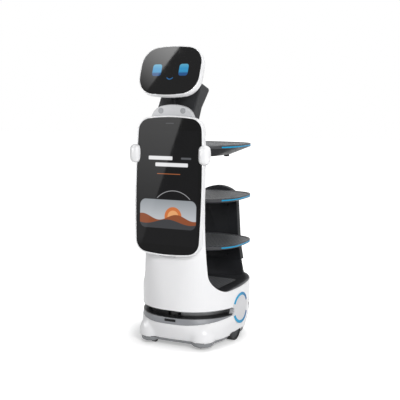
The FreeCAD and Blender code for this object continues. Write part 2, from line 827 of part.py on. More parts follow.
def make_trays(base_mat):
    """Three trays with their mats and side lights, and the arm under the top one."""
    mats = [base_mat]
    lights = []
    for name, share in tray_shares.items():
        top_z = deck_top_z + share * (top_tray_z - deck_top_z)
        rim_bottom = top_z - tray_rim_height
        body = prism(tray_plan, rim_bottom, top_z)
        tongue = block(-tray_tongue_half_width, tray_tongue_half_width, column_edge_y,
                       tray_centre_y, rim_bottom, top_z)
        pieces = [body, tongue.cut(column_region(0.0))]
        if name != "top":
            pieces.append(loft([
                (inset(tray_plan, tray_belly_inset), rim_bottom - tray_belly_height),
                (inset(tray_plan, tray_belly_step), rim_bottom),
            ]))
        tray = joined(pieces)
        well_plan = inset(tray_plan, tray_rim_width)
        tray = tray.cut(prism(well_plan, top_z - tray_pocket_depth, far))
        save(tray, "tray_" + name)
        mats.append(prism(inset(well_plan, clearance), top_z - tray_pocket_depth,
                          top_z - tray_pocket_depth + mat_thickness))
        strip = prism(inset(tray_plan, -light_proud), top_z - light_drop - light_height,
                      top_z - light_drop)
        strip = strip.cut(prism(tray_plan, 0, far))
        strip = strip.common(block(0, far, light_front_y, light_rear_y, 0, far))
        lights.extend([strip, mirrored(strip)])
    save(apart(mats), "tray_mats")
    save(apart(lights), "tray_lights")

    arm_top = top_tray_z - tray_rim_height
    arm_bottom_z = arm_top - arm_height
    arm_plan = even_oval(arm_half_width, (arm_rear_y - tray_front_y) / 2.0, tray_side_radius,
                         arm_corner_radius, arm_end_radius, (arm_rear_y + tray_front_y) / 2.0)
    arm = loft([(arm_plan, arm_bottom_z), (inset(tray_plan, arm_step), arm_top)])
    arm_tongue = block(-tray_tongue_half_width, tray_tongue_half_width, column_edge_y,
                       tray_centre_y, arm_bottom_z, arm_top)
    save(joined([arm, arm_tongue]), "top_tray_arm")
    camera = rod(camera_radius, point(camera_x, camera_y, arm_bottom_z - camera_drop),
                 point(camera_x, camera_y, arm_bottom_z))
    save(both_sides(camera), "tray_cameras")


def rear_column_face(y, taper):
    """Outline of the rear column at one depth, drawn in by a taper."""
    high = rear_column_high_half_width - taper
    waist = rear_column_waist_half_width - taper
    low = rear_column_low_half_width - taper
    shoulder = rear_column_shoulder_z - taper / 2.0
    dome = Part.Arc(point(high, y, shoulder), point(0, y, rear_column_top_z - taper / 2.0),
                    point(-high, y, shoulder)).toShape()
    lines = Part.makePolygon([
        point(-high, y, shoulder), point(-waist, y, rear_column_waist_z),
        point(-low, y, foot_top_z), point(low, y, foot_top_z),
        point(waist, y, rear_column_waist_z), point(high, y, shoulder),
    ])
    return Part.Wire([dome] + lines.Edges)


def foot_section(half_width, front_y, z):
    """Outline of the rear column's foot at one height, drawn in towards the rear."""
    rear_y = rear_face_y + rear_column_depth
    rear = half_width - rear_column_taper * (rear_y - front_y) / rear_column_depth
    corners = [point(-half_width, front_y, z), point(half_width, front_y, z),
               point(rear, rear_y, z), point(-rear, rear_y, z)]
    return Part.makePolygon(corners + corners[:1])


def make_rear_column(deck):
    """Dark column behind the trays, on its flared foot."""
    y0 = rear_face_y
    column = Part.makeLoft([
        rear_column_face(y0, 0.0),
        rear_column_face(y0 + rear_column_depth, rear_column_taper),
    ], True, True)
    for z in fixing_hole_heights:
        for x in (-fixing_hole_x, fixing_hole_x):
            column = column.cut(rod(fixing_hole_radius, point(x, y0, z),
                                    point(x, y0 + fixing_hole_depth, z)))
    save(column, "rear_column")

    foot = Part.makeLoft([
        foot_section(foot_low_half_width, foot_low_front_y, deck_top_z),
        foot_section(foot_middle_half_width, foot_middle_front_y, foot_middle_z),
        foot_section(rear_column_low_half_width, y0, foot_top_z),
    ], True, True)
    foot = foot.common(prism(inset(body_plan, shell_wall), 0, far))
    save(foot.cut(deck), "rear_column_foot")


def egg(radius, half_height, end_radius):
    """Upright egg of tangent arcs, turned about Z."""
    end_z = half_height - end_radius
    side_r = (radius ** 2 + end_z ** 2 - end_radius ** 2) / (2.0 * (radius - end_radius))
    centre = point(radius - side_r, 0, 0)
    slope = math.atan2(end_z, -centre.x)
    touch = centre + point(math.cos(slope), 0, math.sin(slope)) * side_r
    halfway = (slope + math.pi / 2.0) / 2.0
    crown = point(end_radius * math.cos(halfway), 0, end_z + end_radius * math.sin(halfway))
    top = point(0, 0, half_height)
    under = [point(p.x, 0, -p.z) for p in (top, crown, touch)]
    edges = [
        Part.Arc(top, crown, touch).toShape(),
        Part.Arc(touch, point(radius, 0, 0), under[2]).toShape(),
        Part.Arc(under[2], under[1], under[0]).toShape(),
        Part.makeLine(under[0], top),
    ]
    return Part.Face(Part.Wire(edges)).revolve(ORIGIN, Z_AXIS, 360)


def make_pods(display):
    """White egg-shaped pods on both edges of the display."""
    pod = egg(pod_radius, pod_half_height, pod_end_radius)
    pod.translate(point(bezel_half_width + pod_outset, pod_y, pod_z))
    save(both_sides(pod.cut(display)), "side_pods")


def make_display():
    """Front display: glass in a deep white bezel, two side pods and the collar above."""
    glass_plan = even_oval(glass_half_width, glass_half_height, glass_side_radius,
                           glass_corner_radius, glass_end_radius)
    rim_plan = inset(glass_plan, -bezel_rim)
    full = prism(rim_plan, -bezel_depth, 0)
    room = prism(rim_plan, -bezel_depth, bezel_reach)
    pocket = prism(glass_plan, -glass_recess - glass_thickness, 0)
    glass = prism(inset(glass_plan, clearance), -glass_recess - glass_thickness, -glass_recess)
    bezel = stood_up(full.cut(pocket), display_lean, display_y, display_z)
    full = stood_up(full, display_lean, display_y, display_z)
    room = stood_up(room, display_lean, display_y, display_z)
    save(bezel, "display_bezel")
    save(stood_up(glass, display_lean, display_y, display_z), "display_glass")
    make_pods(full)

    collar_plan = even_oval(collar_half_width, collar_half_height, collar_side_radius,
                            collar_corner_radius, collar_end_radius)
    collar = prism(collar_plan, collar_front_y - column_edge_y, 0)
    collar = stood_up(collar, 0.0, collar_front_y, collar_centre_z)
    collar = collar.cut(block(-far, far, -far, far, 0, column_top_z)).cut(room)
    save(collar, "collar")
    spot = rod(collar_sensor_radius,
               point(collar_sensor_x, collar_front_y - collar_sensor_proud, collar_sensor_z),
               point(collar_sensor_x, collar_front_y, collar_sensor_z))
    save(both_sides(spot), "collar_sensors")
    return room


def make_neck():
    """Dark neck behind the collar, with the sloping console and the head's post."""
    corners = [(column_edge_y + behind, overall_height - below) for behind, below in neck_corners]
    neck = side_profile(corners, -neck_half_width, neck_half_width)
    front_y, front_z = corners[console_front_corner]
    rear_y, rear_z = corners[console_rear_corner]
    long_edges = []
    for edge in neck.Edges:
        middle = edge.CenterOfMass
        if abs(middle.x) < clearance and middle.y > rear_y - clearance:
            long_edges.append(edge)
    neck = neck.makeFillet(neck_edge_radius, long_edges)
    save(neck, "neck_console")

    slope = math.atan2(front_z - rear_z, rear_y - front_y)
    length = math.hypot(front_z - rear_z, rear_y - front_y)
    glass = block(-operator_glass_half_width, operator_glass_half_width,
                  operator_glass_margin, length - operator_glass_margin,
                  0, operator_glass_thickness)
    glass.rotate(ORIGIN, X_AXIS, -math.degrees(slope))
    glass.translate(point(0, front_y, front_z))
    save(glass, "operator_display")

    post = rod(post_radius, point(0, knuckle_y, knuckle_z - post_depth),
               point(0, knuckle_y, knuckle_z))
    post = post.cut(neck)
    barrel = rod(knuckle_radius, point(-knuckle_half_width, knuckle_y, knuckle_z),
                 point(knuckle_half_width, knuckle_y, knuckle_z))
    pin_reach = knuckle_half_width + clearance + ear_thickness
    pin = rod(knuckle_pin_radius, point(-pin_reach, knuckle_y, knuckle_z),
              point(pin_reach, knuckle_y, knuckle_z))
    post = joined([post, barrel, pin])
    save(post, "head_post")


def make_head():
    """Face glass in a domed white shell, with two ears on the knuckle pin."""
    face_plan = even_oval(face_half_width, face_half_height, face_side_radius,
                          face_corner_radius, face_end_radius)
    rim_plan = inset(face_plan, -face_rim)
    shell = loft([(inset(rim_plan, distance), depth) for distance, depth in head_sections])
    pocket = prism(face_plan, -face_thickness, 0)
    glass = prism(inset(face_plan, clearance), -face_thickness, 0)
    solid = stood_up(shell.copy(), head_lean, head_y, head_z)
    shell = stood_up(shell.cut(pocket), head_lean, head_y, head_z)
    save(stood_up(glass, head_lean, head_y, head_z), "face_glass")

    ears = []
    inner_x = knuckle_half_width + clearance
    for sign in (1, -1):
        ends = sorted((sign * inner_x, sign * (inner_x + ear_thickness)))
        boss = rod(knuckle_radius, point(ends[0], knuckle_y, knuckle_z),
                   point(ends[1], knuckle_y, knuckle_z))
        web = block(ends[0], ends[1], knuckle_y - knuckle_radius, knuckle_y + knuckle_radius,
                    knuckle_z, knuckle_z + ear_height)
        ear = boss.fuse(web).cut(rod(knuckle_pin_radius + running_fit,
                                     point(-far, knuckle_y, knuckle_z),
                                     point(far, knuckle_y, knuckle_z)))
        ears.append(ear.cut(solid))
    save(joined([shell] + ears), "head_shell")


make_base()
make_running_gear()
display_block = make_display()
tray_deck, deck_mat = make_column(display_block)
make_trays(deck_mat)
make_rear_column(tray_deck)
make_neck()
make_head()
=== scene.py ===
import math

import bpy
from mathutils import Matrix, Vector


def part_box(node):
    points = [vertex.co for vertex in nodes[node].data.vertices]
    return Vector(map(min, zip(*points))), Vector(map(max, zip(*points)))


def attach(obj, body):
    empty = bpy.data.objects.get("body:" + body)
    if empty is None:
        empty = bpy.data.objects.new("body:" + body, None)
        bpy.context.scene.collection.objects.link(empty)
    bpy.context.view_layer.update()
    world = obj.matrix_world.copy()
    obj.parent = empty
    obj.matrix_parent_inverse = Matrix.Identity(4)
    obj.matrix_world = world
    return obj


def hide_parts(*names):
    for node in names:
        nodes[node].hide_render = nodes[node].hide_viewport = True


# Delivery robot: a white shell on a wheeled base, a tall front display, three shelf trays, a
# tilting face. Metres; the robot faces -Y and its left is +X.

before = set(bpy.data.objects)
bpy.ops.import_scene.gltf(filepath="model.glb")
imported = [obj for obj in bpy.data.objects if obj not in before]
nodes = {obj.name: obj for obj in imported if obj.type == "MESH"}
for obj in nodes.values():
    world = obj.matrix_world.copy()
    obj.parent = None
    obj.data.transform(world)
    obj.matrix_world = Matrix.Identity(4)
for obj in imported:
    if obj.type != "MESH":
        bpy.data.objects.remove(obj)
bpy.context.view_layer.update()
scene = bpy.context.scene

MM = 0.001
DISPLAY_CENTRE = (0.0, -0.27797, 0.76499)
DISPLAY_LEAN = 3.3
FACE_CENTRE = (0.0, -0.254, 1.28818)
FACE_LEAN = 20.0
SLOT_Z = 0.165
CAMERA_LENS = 74.88
CAMERA_PLACE = (1.8309, -3.5798, 1.1586)
CAMERA_AIM = (0.01785, 0.00902, 0.672)
ROOM_MIDDLE = (0.0, 0.0, 0.6)
FOOT_CENTRE = (0.136, -0.197)


# Hands on a mesh.
def only(obj):
    """Selects one object and makes it active."""
    bpy.ops.object.select_all(action="DESELECT")
    obj.hide_viewport = False
    obj.select_set(True)
    bpy.context.view_layer.objects.active = obj


def pick(obj, what, test):
    """Edit mode with just the faces, edges or points selected whose centre and normal pass."""
    only(obj)
    bpy.ops.object.mode_set(mode="EDIT")
    kind = {"FACE": "polygons", "EDGE": "edges", "VERT": "vertices"}[what]
    bpy.ops.mesh.select_mode(type=what)
    bpy.ops.mesh.select_all(action="DESELECT")
    bpy.ops.object.mode_set(mode="OBJECT")
    mesh = obj.data
    found = 0
    for item in getattr(mesh, kind):
        if what == "FACE":
            item.select = test(item.center, item.normal)
        elif what == "EDGE":
            a, b = (mesh.vertices[i].co for i in item.vertices)
            item.select = test(a, b)
        else:
            item.select = test(item.co, item.normal)
        found += item.select
    bpy.ops.object.mode_set(mode="EDIT")
    return found


def out_of_edit():
    bpy.ops.object.mode_set(mode="OBJECT")


def modify(obj, kind, **settings):
    """Adds a modifier with its settings and applies it."""
    only(obj)
    modifier = obj.modifiers.new(kind.lower(), kind)
    for name, value in settings.items():
        setattr(modifier, name, value)
    bpy.ops.object.modifier_apply(modifier=modifier.name)


def smooth(obj, degrees=35):
    only(obj)
    bpy.ops.object.shade_smooth_by_angle(angle=math.radians(degrees))


def rounded(obj, width_mm, segments=3, degrees=30):
    """Rounds the edges that are sharper than an angle."""
    modify(obj, "BEVEL", limit_method="ANGLE", angle_limit=math.radians(degrees),
           width=width_mm * MM, segments=segments, use_clamp_overlap=True)


def copy_of(name, *cad_names):
    """One new mesh from copies of CAD nodes, its loose triangles merged."""
    bpy.ops.object.select_all(action="DESELECT")
    for cad_name in cad_names:
        nodes[cad_name].hide_viewport = False
        nodes[cad_name].select_set(True)
    bpy.context.view_layer.objects.active = nodes[cad_names[0]]
    bpy.ops.object.duplicate()
    obj = bpy.context.active_object
    if len(cad_names) > 1:
        bpy.ops.object.join()
    obj.name = name
    obj.parent = None
    for key in [k for k in obj.keys() if k.startswith("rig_")]:
        del obj[key]
    only(obj)
    bpy.ops.object.mode_set(mode="EDIT")
    bpy.ops.mesh.select_all(action="SELECT")
    bpy.ops.mesh.remove_doubles(threshold=0.01 * MM)
    bpy.ops.mesh.dissolve_limited(angle_limit=math.radians(0.5))
    bpy.ops.object.mode_set(mode="OBJECT")
    return obj


def place(obj, body, material, replaced=()):
    """Material and body of a finished piece; hides the CAD nodes it stands for."""
    obj.data.materials.clear()
    obj.data.materials.append(material)
    for face in obj.data.polygons:
        face.material_index = 0
    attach(obj, body)
    if replaced:
        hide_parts(*replaced)
    return obj


def mirror_copy(obj, name):
    """The same piece on the robot's other side, as a mesh of its own."""
    only(obj)
    bpy.ops.object.duplicate()
    twin = bpy.context.active_object
    twin.name = name
    twin.scale.x = -1
    bpy.ops.object.transform_apply(location=False, rotation=False, scale=True)
    bpy.ops.object.mode_set(mode="EDIT")
    bpy.ops.mesh.select_all(action="SELECT")
    bpy.ops.mesh.normals_make_consistent(inside=False)
    bpy.ops.object.mode_set(mode="OBJECT")
    return twin


# Materials.
def colour(text):
    """Linear colour of an sRGB hex value."""
    parts = [int(text[i:i + 2], 16) / 255 for i in (1, 3, 5)]
    return tuple(c / 12.92 if c < 0.04045 else ((c + 0.055) / 1.055) ** 2.4 for c in parts) + (1,)


def node(tree, kind, settings=None, inputs=None):
    """Adds a node; an input is a value, or another node's output to link."""
    made = tree.nodes.new(kind)
    for name, value in (settings or {}).items():
        setattr(made, name, value)
    for name, value in (inputs or {}).items():
        if isinstance(value, bpy.types.NodeSocket):
            tree.links.new(value, made.inputs[name])
        else:
            made.inputs[name].default_value = value
    return made


def maths(tree, operation, a, b=0.0, clamp=False):
    return node(tree, "ShaderNodeMath", {"operation": operation, "use_clamp": clamp},
                {0: a, 1: b}).outputs[0]


def mixed(tree, share, a, b):
    """A colour between two others."""
    made = node(tree, "ShaderNodeMix", {"data_type": "RGBA"}, {0: share, 6: a, 7: b})
    return made.outputs[2]


def remapped(tree, value, low, high, to_low, to_high):
    return node(tree, "ShaderNodeMapRange", {"clamp": True}, {
        "Value": value, "From Min": low, "From Max": high,
        "To Min": to_low, "To Max": to_high}).outputs[0]


def material(name, **settings):
    """A material with its shader's constants set; returns it, its tree and its shader."""
    made = bpy.data.materials.new(name)
    made.use_nodes = True
    tree = made.node_tree
    shader = tree.nodes["Principled BSDF"]
    for key, value in settings.items():
        shader.inputs[key.replace("_", " ")].default_value = value
    return made, tree, shader


def place_of(tree):
    return node(tree, "ShaderNodeTexCoord").outputs["Object"]


def noise(tree, where, size_mm, detail=3.0, roughness=0.5):
    return node(tree, "ShaderNodeTexNoise", None, {
        "Vector": where, "Scale": 1.0 / (size_mm * MM), "Detail": detail,
        "Roughness": roughness}).outputs["Fac"]


def bump(tree, shader, height, depth_mm, strength=1.0):
    made = node(tree, "ShaderNodeBump", None, {
        "Strength": strength, "Distance": depth_mm * MM, "Height": height})
    tree.links.new(made.outputs[0], shader.inputs["Normal"])


def moulded(name, base, tint, roughness, spread, grain_mm, depth_mm, coat=0.0, dust=None,
            dust_height=0.16, shine=0.5):
    """Moulded plastic: faint cloudiness, uneven gloss, a grain, and dust low down."""
    made, tree, shader = material(name, IOR=1.5, Coat_Weight=coat, Coat_Roughness=0.2,
                                  Specular_IOR_Level=shine)
    where = place_of(tree)
    cloud = noise(tree, where, 60.0, 4.0)
    paint = mixed(tree, cloud, colour(base), colour(tint))
    gloss = remapped(tree, noise(tree, where, 22.0, 5.0), 0.3, 0.7,
                     roughness - spread, roughness + spread)
    if dust:
        height = node(tree, "ShaderNodeSeparateXYZ", None, {0: where}).outputs["Z"]
        low = remapped(tree, height, 0.0, dust_height, 1.0, 0.0)
        speckle = remapped(tree, noise(tree, where, 9.0, 8.0, 0.7), 0.42, 0.75, 0.0, 0.55)
        share = maths(tree, "MULTIPLY", maths(tree, "MULTIPLY", low, low), speckle)
        paint = mixed(tree, share, paint, colour(dust))
        gloss = maths(tree, "ADD", gloss, maths(tree, "MULTIPLY", share, 0.5))
    tree.links.new(paint, shader.inputs["Base Color"])
    tree.links.new(gloss, shader.inputs["Roughness"])
    bump(tree, shader, noise(tree, where, grain_mm, 2.0), depth_mm)
    return made


# Polished ABS: smooth bright white with broad soft highlights and a slight orange peel.
white_abs = moulded("polished_white_abs", "#EFEFF0", "#ECECEE", 0.4, 0.02, 30.0, 0.02,
                    coat=0.3, dust="#CFCCC7", dust_height=0.07)
# Satin ABS: the discs' slightly greyer white, with a fine even grain.
satin_white_abs = moulded("satin_white_abs", "#D6D6D8", "#D1D1D4", 0.42, 0.04, 1.6, 0.02)
# Painted ABS: mid-grey lips and skirt with a faint metallic softness, dusty near the floor.
grey_abs = moulded("painted_grey_abs", "#8B8D91", "#7F8185", 0.4, 0.06, 1.4, 0.03,
                   dust="#6E6A64", dust_height=0.05)
skirt_abs = moulded("grained_skirt_abs", "#8A8C8F", "#808285", 0.5, 0.08, 1.2, 0.06,
                    dust="#8A857C", dust_height=0.05)
# Grained ABS: charcoal panels of the column, liner and neck; the grain breaks up the gloss.
charcoal_abs = moulded("grained_charcoal_abs", "#202123", "#26272A", 0.46, 0.07, 1.1, 0.05,
                       shine=0.08)
# The neck's copy of the charcoal ABS, painted a shade lighter: painted light for its lit side.
neck_abs = moulded("grained_neck_abs", "#292A2C", "#2F3032", 0.44, 0.07, 1.1, 0.04, shine=0.15)
tray_abs = moulded("grained_tray_abs", "#38393C", "#404144", 0.4, 0.06, 1.0, 0.05, shine=0.25)
# Grained ABS of the top tray's arm, a shade darker than the trays.
arm_abs = moulded("grained_arm_abs", "#262729", "#2C2D2F", 0.46, 0.07, 1.1, 0.05, shine=0.1)
# Flat black ABS inside the slots and on the battery, which swallows the light.
bay_abs = moulded("flat_black_abs", "#141516", "#1A1B1C", 0.6, 0.08, 1.3, 0.05, shine=0.12)
# Smoked polycarbonate: the scanners' dark, clear-coated window.
smoked_pc = moulded("smoked_polycarbonate", "#0C0C0D", "#101113", 0.2, 0.03, 30.0, 0.01, coat=0.15,
                    shine=0.2)
# Natural rubber compound: deep grey, dull, with scuffs.
tyre_rubber = moulded("tyre_rubber", "#1B1B1C", "#28282A", 0.78, 0.1, 2.0, 0.15, dust="#5B564E",
                      dust_height=0.05)
# Cast polyurethane on the casters: black, waxy.
caster_pu = moulded("cast_polyurethane", "#242527", "#2D2E30", 0.5, 0.08, 5.0, 0.05,
                    dust="#7A756C", dust_height=0.04)


def metal(name, base, tint, roughness, spread, grain_mm, depth_mm):
    """Metal with a mottled sheen."""
    made, tree, shader = material(name, Metallic=1.0)
    where = place_of(tree)
    tree.links.new(mixed(tree, noise(tree, where, grain_mm * 4, 5.0), colour(base), colour(tint)),
                   shader.inputs["Base Color"])
    tree.links.new(remapped(tree, noise(tree, where, grain_mm, 4.0), 0.3, 0.7,
                            roughness - spread, roughness + spread), shader.inputs["Roughness"])
    bump(tree, shader, noise(tree, where, grain_mm, 2.0), depth_mm)
    return made


# Zinc-plated steel: forks, axles and bolts with a cool blotchy sheen.
zinc_steel = metal("zinc_plated_steel", "#A3A6A8", "#8C9092", 0.36, 0.08, 5.0, 0.03)
# Galvanised sheet: the chassis plate, duller with large spangles.
galvanised = metal("galvanised_sheet", "#8A8D90", "#75787B", 0.5, 0.1, 9.0, 0.03)
# Black-coated cast aluminium: the wheel hubs, fine-grained and matt.
cast_aluminium = metal("black_cast_aluminium", "#3C3D3F", "#343537", 0.5, 0.08, 2.0, 0.1)


def mat_material():
    """Silicone mat: near-black, with dots standing proud, drawn 16 mm apart; their pale grey is a
    painted highlight of the light they catch.
    """
    made, tree, shader = material("dotted_silicone", IOR=1.42, Specular_IOR_Level=0.2)
    where = place_of(tree)
    dots = node(tree, "ShaderNodeTexVoronoi", {"voronoi_dimensions": "2D"}, {
        "Vector": where, "Scale": 1.0 / (16.0 * MM), "Randomness": 0.0}).outputs["Distance"]
    raised_and_painted_glint = remapped(tree, dots, 0.26, 0.4, 1.0, 0.0)
    cloud = noise(tree, where, 40.0, 5.0)
    ground = mixed(tree, remapped(tree, cloud, 0.4, 0.6, 0.0, 1.0), colour("#1D1E20"),
                   colour("#3C3D40"))
    # the dots' pale grey is a painted highlight; the same mask gives their real relief in the bump
    tree.links.new(mixed(tree, raised_and_painted_glint, ground, colour("#9C9EA1")), shader.inputs["Base Color"])
    tree.links.new(remapped(tree, cloud, 0.3, 0.7, 0.42, 0.6), shader.inputs["Roughness"])
    bump(tree, shader, raised_and_painted_glint, 0.5)
    return made


dotted_mat = mat_material()


def bay_material():
    """Gloss ABS of the slots' curved back wall: dark, with a pale painted highlight high on its
    left half, painted light where lamps would reach it.
    """
    made, tree, shader = material("gloss_bay_abs", IOR=1.5, Specular_IOR_Level=0.2)
    where = place_of(tree)
    parts = node(tree, "ShaderNodeSeparateXYZ", None, {0: where}).outputs
    cloud = noise(tree, where, 14.0, 3.0)
    # painted light: these masks paint the wall pale high up on its left half, fading towards the
    # slot's end
    height = remapped(tree, parts["Z"], 0.15, 0.17, 0.0, 1.0)
    left = remapped(tree, parts["X"], 0.02, 0.05, 0.0, 1.0)
    end = remapped(tree, parts["X"], 0.15, 0.22, 1.0, 0.15)
    painted_sheen = maths(tree, "MULTIPLY", height, maths(tree, "MULTIPLY", left, end))
    dark = mixed(tree, cloud, colour("#1B1C1D"), colour("#232426"))
    tree.links.new(mixed(tree, painted_sheen, dark, colour("#D2D4D6")), shader.inputs["Base Color"])
    tree.links.new(remapped(tree, cloud, 0.3, 0.7, 0.3, 0.36), shader.inputs["Roughness"])
    return made


bay_wall = bay_material()


def deck_material():
    """Grained ABS of the base tray: charcoal, its outer edge painted a paler grey as painted light
    on the rim.
    """
    made, tree, shader = material("grained_deck_abs", IOR=1.5, Specular_IOR_Level=0.12)
    where = place_of(tree)
    parts = node(tree, "ShaderNodeSeparateXYZ", None, {0: where}).outputs
    cloud = noise(tree, where, 24.0, 4.0)
    # painted light: the masks below paint the outer side and rear edge a paler grey, as if lit
    side = remapped(tree, maths(tree, "ABSOLUTE", parts["X"]), 0.213, 0.228, 0.0, 1.0)
    rear = remapped(tree, parts["Y"], 0.225, 0.24, 0.0, 1.0)
    edge = maths(tree, "MAXIMUM", side, rear)
    paint = mixed(tree, cloud, colour("#2A2B2D"), colour("#313234"))
    tree.links.new(mixed(tree, edge, paint, colour("#77787B")), shader.inputs["Base Color"])
    tree.links.new(remapped(tree, cloud, 0.3, 0.7, 0.38, 0.5), shader.inputs["Roughness"])
    bump(tree, shader, noise(tree, where, 1.1, 2.0), 0.05)
    return made


deck_abs = deck_material()


def led_material(name, centre):
    """Opal light guide: glows pale blue at the front and deeper blue towards the rear."""
    made, tree, shader = material(name, IOR=1.49, Roughness=0.35, Emission_Strength=0.12,
                                  Specular_IOR_Level=0.15)
    where = place_of(tree)
    y = node(tree, "ShaderNodeSeparateXYZ", None, {0: where}).outputs["Y"]
    low, high = centre
    share = remapped(tree, y, low, high, 0.0, 1.0)
    share = maths(tree, "POWER", share, 1.8)
    cells = noise(tree, where, 12.0, 2.0)
    share = maths(tree, "ADD", share, remapped(tree, cells, 0.3, 0.7, -0.12, 0.12), True)
    paint = mixed(tree, share, colour("#2A93C4"), colour("#0F4486"))
    tree.links.new(paint, shader.inputs["Emission Color"])
    tree.links.new(mixed(tree, share, colour("#1C93BE"), colour("#0C4684")),
                   shader.inputs["Base Color"])
    return made


ring_led = led_material("opal_ring_light", (-0.05, 0.06))
tray_led = led_material("opal_strip_light", (-0.2, 0.6))


def glass_coordinates(tree, centre, lean):
    """Distance across and up a leaning pane from its middle, in millimetres."""
    parts = node(tree, "ShaderNodeSeparateXYZ", None, {0: place_of(tree)})
    across = maths(tree, "MULTIPLY", parts.outputs["X"], 1000.0)
    up = maths(tree, "SUBTRACT", parts.outputs["Z"], centre[2])
    up = maths(tree, "MULTIPLY", up, 1000.0 / math.cos(math.radians(lean)))
    return across, up


def soft_box(tree, across, up, x, y, half_width, half_height, radius, edge=1.2):
    """Mask of a rectangle with round corners, in millimetres."""
    dx = maths(tree, "SUBTRACT", maths(tree, "ABSOLUTE", maths(tree, "SUBTRACT", across, x)),
               half_width - radius)
    dy = maths(tree, "SUBTRACT", maths(tree, "ABSOLUTE", maths(tree, "SUBTRACT", up, y)),
               half_height - radius)
    dx = maths(tree, "MAXIMUM", dx, 0.0)
    dy = maths(tree, "MAXIMUM", dy, 0.0)
    reach = maths(tree, "SQRT", maths(tree, "ADD", maths(tree, "MULTIPLY", dx, dx),
                                      maths(tree, "MULTIPLY", dy, dy)))
    return remapped(tree, reach, radius - edge, radius + edge, 1.0, 0.0)


def ring_mask(tree, across, up, x, y, radius, half_stroke, edge=1.0):
    """Mask of a circle's line, in millimetres."""
    dx = maths(tree, "SUBTRACT", across, x)
    dy = maths(tree, "SUBTRACT", up, y)
    reach = maths(tree, "SQRT", maths(tree, "ADD", maths(tree, "MULTIPLY", dx, dx),
                                      maths(tree, "MULTIPLY", dy, dy)))
    off = maths(tree, "ABSOLUTE", maths(tree, "SUBTRACT", reach, radius))
    return remapped(tree, off, half_stroke - edge, half_stroke + edge, 1.0, 0.0)


def pane(name, shine=0.16):
    """Hardened glass over a black print: near-black with a clear reflection."""
    made, tree, shader = material(name, IOR=1.52, Emission_Strength=1.0, Specular_IOR_Level=shine)
    where = place_of(tree)
    smear = noise(tree, where, 45.0, 6.0, 0.6)
    tree.links.new(remapped(tree, smear, 0.35, 0.75, 0.02, 0.05), shader.inputs["Roughness"])
    tree.links.new(mixed(tree, smear, colour("#0C0C0D"), colour("#111112")),
                   shader.inputs["Base Color"])
    return made, tree, shader


def face_pane():
    """The face: two bright rounded eyes and a small smile behind black glass."""
    made, tree, shader = pane("black_face_glass")
    across, up = glass_coordinates(tree, FACE_CENTRE, FACE_LEAN)
    dark = colour("#000000")
    glow = dark
    for x in (-68.0, 68.0):
        eye = soft_box(tree, across, up, x, 2.0, 23.0, 28.0, 12.0)
        lower = remapped(tree, up, -14.0, -6.0, 1.0, 0.0)
        upper = remapped(tree, up, 10.0, 30.0, 0.0, 1.0)
        paint = mixed(tree, lower, colour("#2F8FC0"), colour("#1B4E84"))
        paint = mixed(tree, upper, paint, colour("#57A6C4"))
        glow = mixed(tree, eye, glow, paint)
    smile = ring_mask(tree, across, up, 4.0, -24.0, 18.0, 1.6)
    low = remapped(tree, up, -35.0, -33.0, 1.0, 0.0)
    smile = maths(tree, "MULTIPLY", smile, low)
    glow = mixed(tree, smile, glow, colour("#2573B4"))
    tree.links.new(glow, shader.inputs["Emission Color"])
    return made


